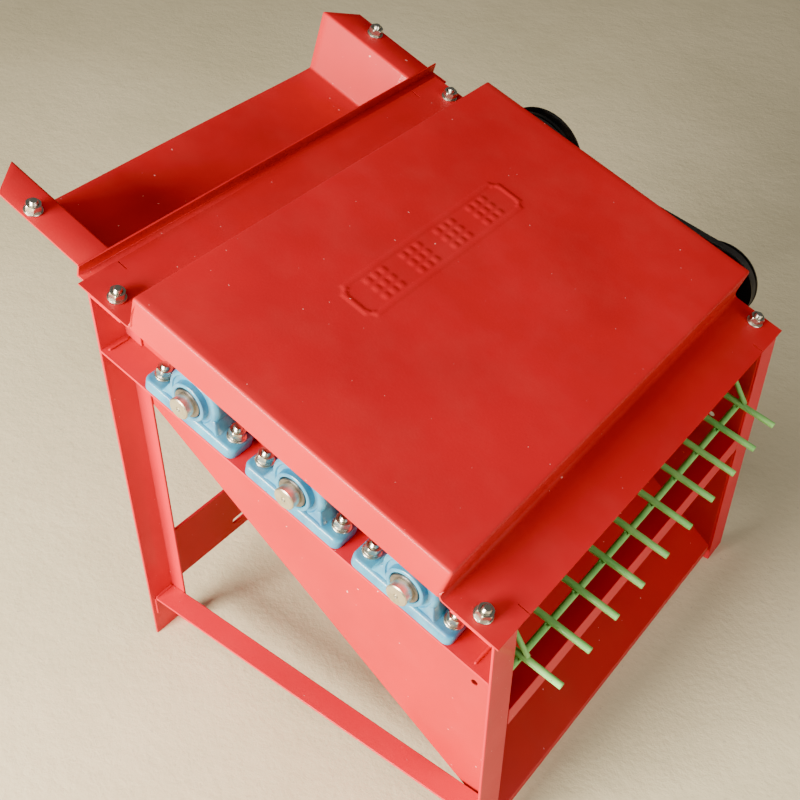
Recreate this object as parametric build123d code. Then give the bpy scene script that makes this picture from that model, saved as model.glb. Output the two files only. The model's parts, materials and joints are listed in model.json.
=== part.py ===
from build123d import *
from math import acos, cos, radians, sin, tan
import os

# Motor-ready three-roller corn sheller on a folded angle frame, in millimetres.
# X runs from the feed tray to the discharge, Y from the near side to the pulley side, Z up.
# Ears slide down the tray, over a rod grate below three studded rollers, and the cobs leave
# over the rod tips while the kernels fall on the chute.

# Frame
frame_width = 612.0
feed_leg_x = -275.0
discharge_leg_x = 242.0
axis_height = 436.0
leg_wide = 40.0
leg_narrow = 25.0
leg_wall = 3.0
lower_rail_top = 65.0
lower_rail_size = 30.0
lower_rail_wall = 3.0
bearing_rail_drop = 25.0
panel_sheet = 2.0

# Slopes, in degrees down towards the discharge
rail_slope = 16.3
lid_tilt = 1.6
tray_tilt = 2.0
grate_slope = 12.0
chute_slope = 36.3

# Motor crossbar and discharge crossmember
crossbar_bottom = 74.0
crossbar_height = 83.0
crossbar_wall = 4.0
slot_length = 60.0
slot_width = 8.5
slot_height = 18.0
slot_spacing = 254.0
crossmember_top = 240.0
crossmember_size = 25.0
crossmember_wall = 3.0

# Lid
lid_rise = 27.2
lid_sheet = 2.0
lid_height = 44.5
lid_top_feed = -236.0
lid_top_discharge = 179.0
lid_flange_feed = -310.0
lid_flange_discharge = 251.0
lid_corner = 3.0
slit_width = 1.6
slit_depth = 15.0
slit_inset = 53.0
cartouche_length = 290.0
cartouche_width = 54.0
cartouche_u = -91.0
cartouche_y = 12.0
cartouche_ridge = 3.0
cartouche_height = 0.8
header_upstand = 12.0
header_foot = 26.0
header_back = 11.0
header_shift = 8.0
header_sheet = 2.0
seat_tab_length = 50.0
seat_tab_wall = 3.0

# Feed tray
tray_width = 594.0
tray_flange = 42.0
tray_sheet = 2.0
tray_depth = 72.0
tray_splay = 22.0
tray_length = 153.0
tray_chamfer = 30.0
tray_tongue = 75.0
tray_lip = 17.0
tray_end_lean = 17.0
tray_bolt_inset = 13.0
tray_bolt_back = 84.0

# Chute
chute_sheet = 2.0
chute_start_height = 402.0
chute_lip = 10.0
panel_hole = 8.0
panel_hole_x = 199.0
panel_hole_z = 252.0
end_plate_sheet = 2.0

# Shafts, rollers and pulleys
shaft_pitch = 145.0
shaft_diameter = 25.0
fit = 0.02
near_shaft_overhang = 15.0
far_shaft_proud = 3.0
centre_drill = 5.0
drum_diameter = 50.0
drum_wall = 4.0
drum_length = 490.0
drum_end_wall = 5.0
tooth_diameter = 10.0
tooth_height = 10.0
tooth_rows = 6
teeth_per_row = 13
pulley_gap = 4.0
groove_pitch = 18.0
pulley_diameters = [130.0, 80.0, 106.0]
pulley_hub = 46.0
pulley_web = 8.0
belt_width = 10.0
belt_thickness = 8.0
belt_clearance = 0.3
belt_sunk = 0.5
groove_flare = 1.4
groove_depth = 11.0
rim_wall = 5.0
web_hole_share = 0.62
key_width = 8.0
key_height = 7.0
key_length = 22.0

# Pillow blocks for a 25 mm shaft
base_length = 130.0
base_width = 38.0
base_corner = 9.0
base_height = 15.0
base_hole_spacing = 105.0
base_slot_width = 13.0
base_slot_length = 17.0
centre_height = 36.5
block_radius = 34.5
block_width = 29.0
collar_diameter = 45.0
collar_out = 21.5
collar_wall_in = 9.2
eye_clearance = 0.9
outer_ring_diameter = 52.0
outer_ring_bore = 44.0
outer_ring_width = 17.0
inner_ring_diameter = 34.0
inner_ring_out = 22.5
inner_ring_in = 14.3
ball_diameter = 7.6
ball_circle = 39.0
ball_count = 9
race_play = 0.15
seal_width = 1.5

# Grate
rod_diameter = 8.0
rod_count = 10
rod_spacing = 54.0
rod_tip_x = 285.0
rod_feed_x = -258.0
grate_height = 305.0
grate_ref_x = 235.5
cross_rod_x = [235.5, 75.0, -85.0, -245.0]
hanger_diameter = 6.0
hanger_rise = 40.0
hanger_lean = 33.0

# Fasteners, all M10
bolt_diameter = 10.0
bolt_across_flats = 16.0
bolt_head = 6.4
nut_height = 8.4
washer_diameter = 21.0
washer_thickness = 2.0
spring_washer_diameter = 18.0
spring_washer_thickness = 2.4
bolt_hole = 11.0
bolt_proud = 4.0
cover_bolt_inset = 18.0
cover_bolt_feed = -272.0
cover_bolt_discharge = 219.0

# Places worked out from the sizes above
half = frame_width / 2
inner_plane = half - leg_wide
panel_inside = inner_plane - panel_sheet
inside_feed = feed_leg_x + leg_wall
inside_discharge = discharge_leg_x - leg_wall
bearing_y = half - base_width / 2
shaft_u = [-shaft_pitch, 0.0, shaft_pitch]
seat_w = -centre_height
rail_frame = Location((0, 0, axis_height), (0, rail_slope, 0))
lid_frame = rail_frame * Location((0, 0, lid_rise), (0, lid_tilt, 0))
header_top = lid_frame * Location((lid_flange_feed - header_back, 0, header_upstand))
tray_frame = Location(header_top.position, (0, rail_slope + lid_tilt + tray_tilt, 0))
grate_frame = Location((grate_ref_x, 0, grate_height), (0, grate_slope, 0))
kept = {}
near_shaft_end = half + near_shaft_overhang
far_shaft_end = half + pulley_gap + 2 * groove_pitch + far_shaft_proud
groove_y = [half + pulley_gap + groove_pitch / 2, half + pulley_gap + groove_pitch * 1.5]


def block(x, y, z):
    """A box given by its low and high value along each axis."""
    size = Box(x[1] - x[0], y[1] - y[0], z[1] - z[0])
    return Pos((x[0] + x[1]) / 2, (y[0] + y[1]) / 2, (z[0] + z[1]) / 2) * size


def slab(sketch, y0, y1):
    """A flat outline in X and Z, thickened from y0 to y1."""
    placed = Plane.XZ.offset(-(y0 + y1) / 2) * sketch
    return extrude(placed, amount=(y1 - y0) / 2, both=True)


def outline(points):
    return make_face(Polyline(*points, close=True))


def cross_bar(radius, y0, y1):
    """A round bar along Y on the frame's origin."""
    return Pos(0, (y0 + y1) / 2, 0) * Rot(90, 0, 0) * Cylinder(radius, y1 - y0)


def ring(outer, bore, y0, y1):
    return cross_bar(outer, y0, y1) - cross_bar(bore, y0 - 1, y1 + 1)


def upright(radius, z0, z1):
    return Pos(0, 0, (z0 + z1) / 2) * Cylinder(radius, z1 - z0)


def hexagon(across_flats, z0, z1):
    face = RegularPolygon(across_flats / 2, 6, major_radius=False)
    return Pos(0, 0, z0) * extrude(face, amount=z1 - z0)


def far_side(shape):
    return mirror(shape, about=Plane.XZ)


def keep(name, *shapes):
    """Keep a node's solids under its name until everything is built."""
    kept[name] = [solid for shape in shapes for solid in shape.solids()]


def angle_leg(outer_x, inward):
    """A near leg: wide flange across the machine, narrow flange on the side plane."""
    wide = block(
        sorted((outer_x, outer_x + inward * leg_wall)), (-half, -inner_plane), (0, 900)
    )
    narrow = block(
        sorted((outer_x, outer_x + inward * leg_narrow)),
        (-inner_plane - leg_wall, -inner_plane),
        (0, 900),
    )
    return wide + narrow - over_lid()


def over_lid():
    """All the space above the underside of the lid's flange."""
    return lid_frame * block((-600, 600), (-600, 600), (-lid_sheet, 600))


def lower_rail():
    back = -inner_plane - leg_wall
    front = back - lower_rail_size
    top = (lower_rail_top - lower_rail_wall, lower_rail_top)
    drop = (lower_rail_top - lower_rail_size, lower_rail_top)
    flat = block((inside_feed, inside_discharge), (front, back), top)
    web = block((inside_feed, inside_discharge), (back - lower_rail_wall, back), drop)
    return flat + web


def bearing_rail(legs):
    """The near bearing rail: a flat shelf with its web on the side plane."""
    reach = (-frame_width, frame_width)
    flat = block(reach, (-half, -inner_plane), (seat_w - leg_wall, seat_w))
    web = block(
        reach, (-inner_plane - leg_wall, -inner_plane), (seat_w - bearing_rail_drop, seat_w)
    )
    rail = rail_frame * (flat + web)
    rail = rail & block((inside_feed, inside_discharge), (-half, 0), (0, 900))
    for leg in legs:
        rail = rail - leg
    for u in bolt_stations():
        hole = Pos(u, -bearing_y, seat_w) * upright(bolt_hole / 2, -10, 10)
        rail = rail - rail_frame * hole
    return rail


def bolt_stations():
    return [u + side * base_hole_spacing / 2 for u in shaft_u for side in (-1, 1)]


def chute_line(x):
    """Height of the chute's underside."""
    return chute_start_height - tan(radians(chute_slope)) * (x - inside_feed)


def side_panel():
    """Near side sheet with a slot for each shaft, open at the top."""
    left, right = inside_feed, inside_discharge
    face = outline([(left, chute_line(left)), (right, chute_line(right)), (right, 900), (left, 900)])
    panel = slab(face, -inner_plane, -panel_inside) - over_lid()
    slot = (-shaft_diameter / 2 - 4, shaft_diameter / 2 + 4)
    for u in shaft_u:
        opening = block(slot, (-half, 0), (0, 200))
        opening = opening + cross_bar(slot[1], -half, 0)
        panel = panel - rail_frame * Pos(u, 0, 0) * opening
    return panel - Pos(panel_hole_x, 0, panel_hole_z) * cross_bar(panel_hole / 2, -half, 0)


def chute_floor():
    """Sloping kernel floor whose end folds straight down as a lip."""
    rise = chute_sheet / cos(radians(chute_slope))
    left, right = inside_feed, inside_discharge
    end = right - chute_sheet
    points = [
        (left, chute_line(left)),
        (end, chute_line(end)),
        (end, chute_line(end) - chute_lip),
        (right, chute_line(end) - chute_lip),
        (right, chute_line(right) + rise),
        (left, chute_line(left) + rise),
    ]
    return slab(outline(points), -panel_inside, panel_inside)


def feed_end_plate():
    """End sheet below the tray, open above it as the inlet."""
    low = chute_line(inside_feed) + chute_sheet / cos(radians(chute_slope))
    plate = block(
        (inside_feed, inside_feed + end_plate_sheet), (-panel_inside, panel_inside), (low, 900)
    )
    floor = block((inside_feed - 1, inside_feed + end_plate_sheet + 1), (-half, half), (0, low))
    return plate - over_lid() - tray_frame * tray_space(tray_sheet) - floor


def motor_crossbar():
    x = (inside_feed, inside_feed + crossbar_wall)
    bar = block(x, (-inner_plane, inner_plane), (crossbar_bottom, crossbar_bottom + crossbar_height))
    for side in (-1, 1):
        slot = extrude(SlotOverall(slot_length, slot_width), amount=crossbar_wall, both=True)
        place = Pos(inside_feed, side * slot_spacing / 2, crossbar_bottom + slot_height)
        bar = bar - place * Rot(0, 90, 0) * Rot(0, 0, 90) * slot
    return bar


def discharge_crossmember():
    x = discharge_leg_x
    y = (-panel_inside, panel_inside)
    low = crossmember_top - crossmember_size
    face = block((x - crossmember_wall, x), y, (low, crossmember_top))
    ledge = block((x - crossmember_size, x), y, (crossmember_top - crossmember_wall, crossmember_top))
    return face + ledge


def seat_tabs(legs):
    """Four plates in the leg corners, under the lid's bolts."""
    tabs = []
    for u in (cover_bolt_feed, cover_bolt_discharge):
        span = (u - seat_tab_length / 2, u + seat_tab_length / 2)
        depth = (-lid_sheet - seat_tab_wall, -lid_sheet)
        tab = lid_frame * block(span, (-half, -inner_plane - leg_wall), depth)
        tab = tab & block((inside_feed, inside_discharge), (-half, 0), (0, 900))
        for leg in legs:
            tab = tab - leg
        hole = Pos(u, -half + cover_bolt_inset, 0) * upright(bolt_hole / 2, -20, 20)
        tab = tab - lid_frame * hole
        tabs += [tab, far_side(tab)]
    return tabs


def lid():
    """Bent lid: end flanges, raised top and two side skirts from one sheet."""
    top = (lid_top_feed, lid_top_discharge)
    flange = block((lid_flange_feed, lid_flange_discharge), (-half, half), (-lid_sheet, 0))
    shell = block(top, (-half, half), (-lid_sheet, lid_height))
    shell = fillet(shell.edges().group_by(Axis.Z)[-1], lid_corner)
    hollow = block(
        (top[0] + lid_sheet, top[1] - lid_sheet),
        (-half + lid_sheet, half - lid_sheet),
        (-lid_sheet - 1, lid_height - lid_sheet),
    )
    body = shell + flange - hollow
    body = body - block(top, (-half - 1, half + 1), (-lid_sheet - 1, 0))
    for u in (cover_bolt_feed, cover_bolt_discharge):
        for side in (-1, 1):
            place = Pos(u, side * (half - cover_bolt_inset), 0)
            body = body - place * upright(bolt_hole / 2, -20, 20)
    for end, inward in ((lid_flange_feed, 1), (lid_flange_discharge, -1)):
        cut = sorted((end - inward, end + inward * slit_depth))
        for side in (-1, 1):
            y = side * (half - slit_inset)
            body = body - block(cut, (y - slit_width / 2, y + slit_width / 2), (-20, 20))
    return lid_frame * (body + cartouche())


def cartouche():
    """A plain raised border with notched corners, with nothing inside it."""
    outer = Rectangle(cartouche_width, cartouche_length)
    notch = 8
    for x in (-1, 1):
        for y in (-1, 1):
            corner = Pos(x * cartouche_width / 2, y * cartouche_length / 2)
            outer = outer - corner * Rectangle(2 * notch, 2 * notch)
    band = outer - offset(outer, -cartouche_ridge)
    place = Pos(cartouche_u, cartouche_y, lid_height)
    return place * extrude(band, amount=cartouche_height)


def inlet_header():
    """Folded edge stiffener: upstand at the feed edge and a foot under the flange."""
    edge = lid_flange_feed - header_back
    foot_w = (-lid_sheet - header_sheet, -lid_sheet)
    y = (header_shift - half, header_shift + half)
    upstand = block((edge, edge + header_sheet), y, (foot_w[0], header_upstand))
    foot = block((edge, edge + header_foot), y, foot_w)
    return lid_frame * (upstand + foot) - block((feed_leg_x, 0), (-half, half + 20), (0, 900))


def tray_space(skin):
    """The tray's hollow, grown by the given skin, from well outside to well inside."""
    top = tray_width / 2 - tray_flange
    low = top - tray_splay
    reach = tray_length + 60
    points = [
        (-top - skin, 0),
        (-low - skin, -tray_depth - skin),
        (low + skin, -tray_depth - skin),
        (top + skin, 0),
        (top + skin, 60),
        (-top - skin, 60),
    ]
    face = Plane.YZ * outline(points)
    return extrude(face, amount=reach, both=True)


def feed_tray():
    """Open tray: floor, two splayed walls with out-turned flanges, and a tongue inside."""
    wide = tray_width / 2
    end = (-tray_length - 60, tray_length + 60)
    stock = tray_space(tray_sheet) & block(end, (-wide, wide), (-tray_depth - 10, 0))
    stock = stock + block(end, (-wide, wide), (-tray_sheet, 0))
    stock = stock - tray_space(0)
    foot = -tray_length + tray_end_lean
    lip = -tray_depth + tray_lip
    low = -tray_depth - tray_sheet
    side = [
        (-tray_length, 0),
        (0, 0),
        (0, lip),
        (tray_tongue, lip),
        (tray_tongue, low),
        (foot, low),
    ]
    tray = stock & slab(outline(side), -wide, wide)
    for way in (-1, 1):
        corner = [
            (-tray_length - 1, way * (wide - tray_flange)),
            (-tray_length, way * (wide - tray_flange)),
            (-tray_length + tray_chamfer, way * wide),
            (-tray_length + tray_chamfer, way * (wide + 1)),
            (-tray_length - 1, way * (wide + 1)),
        ]
        tray = tray - extrude(outline(corner), amount=5, both=True)
        hole = Pos(-tray_bolt_back, way * (wide - tray_bolt_inset), 0)
        tray = tray - hole * upright(bolt_hole / 2, -20, 20)
    return tray_frame * tray


def bolt(grip_low, nut_top):
    """Hexagon bolt from below: head under grip_low, tip proud of the nut."""
    head = hexagon(bolt_across_flats, grip_low - bolt_head, grip_low)
    tip = nut_top + bolt_proud
    shank = chamfer(upright(bolt_diameter / 2, grip_low, tip).edges().group_by(Axis.Z)[-1], 1.2)
    return head + shank


def nut(z):
    body = hexagon(bolt_across_flats, z, z + nut_height)
    crown = Pos(0, 0, z + nut_height / 2) * Cylinder(bolt_across_flats * 0.56, nut_height)
    crown = chamfer(crown.edges(), 0.9)
    return (body & crown) - upright(bolt_diameter / 2 + fit, z - 1, z + nut_height + 1)


def washer(z):
    hole = upright(bolt_diameter / 2 + 0.25, z - 1, z + washer_thickness + 1)
    return upright(washer_diameter / 2, z, z + washer_thickness) - hole


def spring_washer(z):
    """Split washer, cut through on one side."""
    top = z + spring_washer_thickness
    body = upright(spring_washer_diameter / 2, z, top) - upright(bolt_diameter / 2 + 0.25, z - 1, top + 1)
    return body - block((0, spring_washer_diameter), (-0.8, 0.8), (z - 1, top + 1))


def bearing_fasteners():
    """Bolts, nuts, spring washers and flat washers of the six pillow blocks."""
    seat = seat_w + base_height
    spring = seat + washer_thickness
    nut_low = spring + spring_washer_thickness
    kit = (
        bolt(seat_w - leg_wall, nut_low + nut_height),
        nut(nut_low),
        spring_washer(spring),
        washer(seat),
    )
    places = [Pos(u, side * bearing_y, 0) for u in bolt_stations() for side in (-1, 1)]
    return [[rail_frame * place * piece for place in places] for piece in kit]


def cover_fasteners():
    """Bolts, nuts and washers of the lid's four corners and the tray's two flanges."""
    lid_places = [
        lid_frame * Pos(u, side * (half - cover_bolt_inset), 0)
        for u in (cover_bolt_feed, cover_bolt_discharge)
        for side in (-1, 1)
    ]
    tray_places = [
        tray_frame * Pos(-tray_bolt_back, side * (tray_width / 2 - tray_bolt_inset), 0)
        for side in (-1, 1)
    ]
    nut_top = washer_thickness + nut_height
    lid_bolt = bolt(-lid_sheet - seat_tab_wall, nut_top)
    tray_bolt = bolt(-tray_sheet, nut_top)
    bolts = [place * lid_bolt for place in lid_places] + [place * tray_bolt for place in tray_places]
    places = lid_places + tray_places
    nuts = [place * nut(washer_thickness) for place in places]
    washers = [place * washer(0) for place in places]
    return bolts, nuts, washers


def pillow_block():
    """Cast near-side housing about the origin, foot at the seat, its collar at negative Y."""
    top = seat_w + base_height
    foot = Pos(0, 0, seat_w) * extrude(
        RectangleRounded(base_length, base_width, base_corner), amount=base_height
    )
    foot = fillet(foot.edges().group_by(Axis.Z)[-1], 2)
    shoulders = outline([(-40, seat_w), (-40, top), (-31, -8), (31, -8), (40, top), (40, seat_w)])
    body = slab(Circle(block_radius) + shoulders, -block_width / 2, block_width / 2)
    block_solid = foot + body
    for y in (-1, 1):
        face = Pos(0, y * block_width / 2, 0) * cross_bar(block_radius - 4, -1.5, 1.5)
        block_solid = block_solid - (face - cross_bar(outer_ring_diameter / 2 + 1.5, -half, half))
    block_solid = block_solid - cross_bar(outer_ring_diameter / 2 + fit, -half, half)
    eye = inner_ring_diameter / 2 + eye_clearance
    block_solid = block_solid + ring(outer_ring_diameter / 2 + 1, eye, -block_width / 2, -collar_wall_in)
    block_solid = block_solid + ring(collar_diameter / 2, eye, -collar_out, -collar_wall_in)
    for side in (-1, 1):
        slot = extrude(SlotOverall(base_slot_length, base_slot_width), amount=half, both=True)
        block_solid = block_solid - Pos(side * base_hole_spacing / 2, 0, 0) * slot
    return block_solid - grease_nipple()


def grease_nipple():
    """Nipple on the crown of the housing, with its thread sunk in the casting."""
    root = block_radius - 4
    thread = upright(2.5, root, root + 4)
    nut_part = hexagon(7, block_radius, block_radius + 3)
    neck = upright(1.6, block_radius + 3, block_radius + 7)
    tip = Pos(0, 0, block_radius + 7) * Sphere(2.4)
    return Rot(0, 28, 0) * (thread + nut_part + neck + tip)


def outer_ring():
    race = ring(
        outer_ring_diameter / 2, outer_ring_bore / 2, -outer_ring_width / 2, outer_ring_width / 2
    )
    return race - ball_track()


def ball_track():
    return Rot(90, 0, 0) * Torus(ball_circle / 2, ball_diameter / 2 + race_play)


def inner_ring():
    """Inner ring with its long side at negative Y, for the near bearings."""
    race = ring(
        inner_ring_diameter / 2, shaft_diameter / 2 + fit, -inner_ring_out, inner_ring_in
    )
    return race - ball_track()


def balls():
    return [
        Rot(0, 360 * n / ball_count, 0) * Pos(ball_circle / 2, 0, 0) * Sphere(ball_diameter / 2)
        for n in range(ball_count)
    ]


def seals():
    inside = inner_ring_diameter / 2 + 0.3
    outside = outer_ring_bore / 2 - fit
    edge = outer_ring_width / 2
    return [
        ring(outside, inside, -edge, -edge + seal_width),
        ring(outside, inside, edge - seal_width, edge),
    ]


def roller_shaft(pulley_y):
    """Shaft with centre-drilled ends and a keyseat under its pulley."""
    shaft = cross_bar(shaft_diameter / 2, -near_shaft_end, far_shaft_end)
    shaft = chamfer(shaft.edges().filter_by(GeomType.CIRCLE), 1)
    for y, way in ((-near_shaft_end, 1), (far_shaft_end, -1)):
        drill = Pos(0, y, 0) * Rot(90 * way, 0, 0) * Cone(centre_drill / 2, 0.1, 2 * centre_drill)
        shaft = shaft - drill
    return shaft - key_block(pulley_y, 0)


def key_block(y, play):
    """Key standing in the top of the shaft, grown by the play on its pulley side."""
    low = shaft_diameter / 2 - 4
    wide = key_width / 2 + play
    reach = key_length / 2 + play
    return block((-wide, wide), (y - reach, y + reach), (low, low + key_height + play))


def roller_drum():
    """Welded drum: tube and two end discs bored for the shaft."""
    long = drum_length / 2
    tube = cross_bar(drum_diameter / 2, -long, long)
    hollow = cross_bar(drum_diameter / 2 - drum_wall, -long + drum_end_wall, long - drum_end_wall)
    return tube - hollow - cross_bar(shaft_diameter / 2 + fit, -half, half)


def roller_teeth(phase):
    """Studs welded on the drum in staggered spiral rows."""
    top = drum_diameter / 2 + tooth_height
    stud = upright(tooth_diameter / 2, drum_diameter / 2 - 3, top)
    stud = fillet(stud.edges().group_by(Axis.Z)[-1], 2)
    stud = stud - cross_bar(drum_diameter / 2, -half, half)
    pitch = (drum_length - 40) / teeth_per_row
    teeth = []
    for row in range(tooth_rows):
        for n in range(teeth_per_row):
            y = -drum_length / 2 + 20 + pitch * (n + (row % 3 + 0.5) / 3)
            turn = 360 * row / tooth_rows + 14 * n + phase
            teeth.append(Rot(0, turn, 0) * Pos(0, y, 0) * stud)
    return teeth


def pulley(diameter, grooves):
    """V-belt pulley over the given groove centres, with hub, web, bore and keyway."""
    radius = diameter / 2
    low = grooves[0] - groove_pitch / 2
    high = grooves[-1] + groove_pitch / 2
    rim_in = radius - groove_depth - rim_wall
    middle = (low + high) / 2
    hub_low = half + pulley_gap
    body = cross_bar(radius, low, high)
    if rim_in > pulley_hub / 2 + 4:
        for y in ((low - 1, middle - pulley_web / 2), (middle + pulley_web / 2, high + 1)):
            body = body - ring(rim_in, pulley_hub / 2 - 1, *y)
    body = body + cross_bar(pulley_hub / 2, hub_low, high)
    hole = (rim_in - pulley_hub / 2) / 2 * web_hole_share
    if hole > 4:
        for n in range(5):
            spot = Rot(0, 72 * n + 36, 0) * Pos((rim_in + pulley_hub / 2) / 2, 0, 0)
            body = body - spot * cross_bar(hole, low - 1, high + 1)
    for y in grooves:
        wide = belt_width / 2 + belt_clearance
        deep = radius - groove_depth
        open_wide = wide + groove_flare
        points = [
            (deep, y - wide),
            (radius + 1, y - open_wide),
            (radius + 1, y + open_wide),
            (deep, y + wide),
        ]
        body = body - revolve(outline(points), Axis.Y)
    body = body - cross_bar(shaft_diameter / 2 + fit, -half, far_shaft_end + 50)
    return body - key_block((hub_low + high) / 2, 0.1)


def belt_loop(first, second, y, inset):
    """The filled outline of a belt round two shafts, at a depth below the pulley tops."""
    big = pulley_diameters[first] / 2 - inset
    small = pulley_diameters[second] / 2 - inset
    turn = acos((big - small) / (shaft_u[second] - shaft_u[first]))
    a, b = shaft_u[first], shaft_u[second]
    ends = [
        (a + big * cos(turn), big * sin(turn)),
        (b + small * cos(turn), small * sin(turn)),
        (b + small * cos(turn), -small * sin(turn)),
        (a + big * cos(turn), -big * sin(turn)),
    ]
    face = Pos(a, 0) * Circle(big) + Pos(b, 0) * Circle(small) + outline(ends)
    return slab(face, y - belt_width / 2, y + belt_width / 2)


def belt(first, second, y):
    outside = belt_loop(first, second, y, belt_sunk)
    inside = belt_loop(first, second, y, belt_sunk + belt_thickness)
    return rail_frame * (outside - inside)


def grate_rods():
    """Parallel rods along the flow, resting on the cross rods."""
    tip = (rod_tip_x - grate_ref_x) / cos(radians(grate_slope))
    feed = (rod_feed_x - grate_ref_x) / cos(radians(grate_slope))
    rod = Pos((tip + feed) / 2, 0, 0) * Rot(0, 90, 0) * Cylinder(rod_diameter / 2, tip - feed)
    rod = chamfer(rod.edges().filter_by(GeomType.CIRCLE), 0.6)
    first = -(rod_count - 1) / 2 * rod_spacing
    return [grate_frame * Pos(0, first + n * rod_spacing, 0) * rod for n in range(rod_count)]


def cross_rods():
    rod = Pos(0, 0, -rod_diameter) * cross_bar(rod_diameter / 2, -panel_inside, panel_inside)
    places = [Pos((x - grate_ref_x) / cos(radians(grate_slope)), 0, 0) for x in cross_rod_x]
    return [grate_frame * place * rod for place in places]


def grate_hangers():
    """Bars from the outer grate rods up to tabs on the side panels."""
    y = (rod_count - 1) / 2 * rod_spacing
    slant = Pos(8, 0, rod_diameter / 2) * Rot(0, -hanger_lean - grate_slope, 0)
    bar = slant * upright(hanger_diameter / 2, 1, hanger_rise)
    bar = bar - Rot(0, 90, 0) * Cylinder(rod_diameter / 2, 200)
    tab = slant * block((-8, 8), (-hanger_diameter / 2, panel_inside - y), (hanger_rise, hanger_rise + 3))
    near = bar + mirror(tab, about=Plane.XZ)
    return [
        grate_frame * Pos(0, -y, 0) * near,
        grate_frame * Pos(0, y, 0) * (bar + tab),
    ]


def build():
    near_legs = [angle_leg(feed_leg_x, 1), angle_leg(discharge_leg_x, -1)]
    for name, leg in zip(("feed", "discharge"), near_legs):
        keep(f"{name}_leg_near", leg)
        keep(f"{name}_leg_far", far_side(leg))
    for name, piece in (
        ("lower_rail", lower_rail()),
        ("bearing_rail", bearing_rail(near_legs)),
        ("side_panel", side_panel()),
    ):
        keep(f"{name}_near", piece)
        keep(f"{name}_far", far_side(piece))
    keep("motor_crossbar", motor_crossbar())
    keep("discharge_crossmember", discharge_crossmember())
    keep("lid_seat_tabs", *seat_tabs(near_legs))
    keep("chute_floor", chute_floor())
    keep("feed_end_plate", feed_end_plate())
    keep("feed_tray", feed_tray())
    keep("inlet_header", inlet_header())
    keep("lid", lid())
    for name, pieces in zip(("bolts", "nuts", "spring_washers", "flat_washers"), bearing_fasteners()):
        keep(f"bearing_{name}", *pieces)
    for name, pieces in zip(("bolts", "nuts", "washers"), cover_fasteners()):
        keep(f"cover_{name}", *pieces)
    build_bearings()
    build_rollers()
    keep("belt_1_2", belt(0, 1, groove_y[0]))
    keep("belt_2_3", belt(1, 2, groove_y[1]))
    keep("grate_rods", *grate_rods())
    keep("grate_cross_rods", *cross_rods())
    keep("grate_hangers", *grate_hangers())


def build_bearings():
    housing = pillow_block()
    rings, nipples, ball_set, seal_set = [], [], [], []
    for n, u in enumerate(shaft_u, start=1):
        near = rail_frame * Pos(u, -bearing_y, 0)
        far = rail_frame * Pos(u, bearing_y, 0)
        keep(f"housing_{n}_near", near * housing)
        keep(f"housing_{n}_far", far * far_side(housing))
        keep(f"inner_rings_{n}", near * inner_ring(), far * far_side(inner_ring()))
        for place in (near, far):
            rings.append(place * outer_ring())
            nipples.append(place * grease_nipple())
            ball_set += [place * ball for ball in balls()]
            seal_set += [place * seal for seal in seals()]
    keep("outer_rings", *rings)
    keep("grease_nipples", *nipples)
    keep("bearing_balls", *ball_set)
    keep("bearing_seals", *seal_set)


def build_rollers():
    grooves = [groove_y, groove_y, groove_y[1:]]
    drum = roller_drum()
    for n, u in enumerate(shaft_u, start=1):
        place = rail_frame * Pos(u, 0, 0)
        lines = grooves[n - 1]
        key_y = (half + pulley_gap + lines[-1] + groove_pitch / 2) / 2
        keep(f"roller_shaft_{n}", place * roller_shaft(key_y))
        keep(f"roller_drum_{n}", place * drum)
        keep(f"roller_teeth_{n}", *[place * tooth for tooth in roller_teeth(20 * n)])
        keep(f"pulley_{n}", place * pulley(pulley_diameters[n - 1], lines))
        keep(f"pulley_key_{n}", place * key_block(key_y, 0))


def export_all():
    """Write each node with the origin at the bottom centre of the whole."""
    box = Compound([solid for solids in kept.values() for solid in solids]).bounding_box()
    shift = Pos(-(box.min.X + box.max.X) / 2, -(box.min.Y + box.max.Y) / 2, -box.min.Z)
    os.makedirs("parts", exist_ok=True)
    for name, solids in kept.items():
        node = shift * (solids[0] if len(solids) == 1 else Compound(solids))
        node.label = name
        export_step(node, f"parts/{name}.step")
    print("nodes", len(kept), "size", box.size, "shift", shift.position)


build()
export_all()
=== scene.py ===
import json
import math

import bmesh
import bpy
import numpy as np
from mathutils import Matrix, Vector


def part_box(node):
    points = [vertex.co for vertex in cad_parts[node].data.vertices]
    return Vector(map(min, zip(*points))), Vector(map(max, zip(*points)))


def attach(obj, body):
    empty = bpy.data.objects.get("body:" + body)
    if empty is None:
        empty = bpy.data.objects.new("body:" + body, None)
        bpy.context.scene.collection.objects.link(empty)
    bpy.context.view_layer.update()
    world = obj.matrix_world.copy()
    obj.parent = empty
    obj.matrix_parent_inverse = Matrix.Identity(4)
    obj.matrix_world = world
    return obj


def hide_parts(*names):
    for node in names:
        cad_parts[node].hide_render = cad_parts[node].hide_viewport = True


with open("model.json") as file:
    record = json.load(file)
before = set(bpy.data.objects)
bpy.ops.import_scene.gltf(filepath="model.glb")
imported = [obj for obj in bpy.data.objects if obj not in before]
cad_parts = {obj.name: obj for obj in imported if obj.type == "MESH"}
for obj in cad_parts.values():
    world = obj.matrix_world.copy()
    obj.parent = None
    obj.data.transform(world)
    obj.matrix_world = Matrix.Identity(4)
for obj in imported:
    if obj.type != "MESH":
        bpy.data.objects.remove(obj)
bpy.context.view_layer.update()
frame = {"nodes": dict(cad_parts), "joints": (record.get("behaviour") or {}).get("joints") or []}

# Corn sheller: red enamelled sheet and angle, blue pillow blocks, green rod grate.
# Sizes in the dictionaries are millimetres in the machine's own frame: X from the middle
# shaft towards the discharge, Y from the frame's centre plane, Z from the floor.

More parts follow.
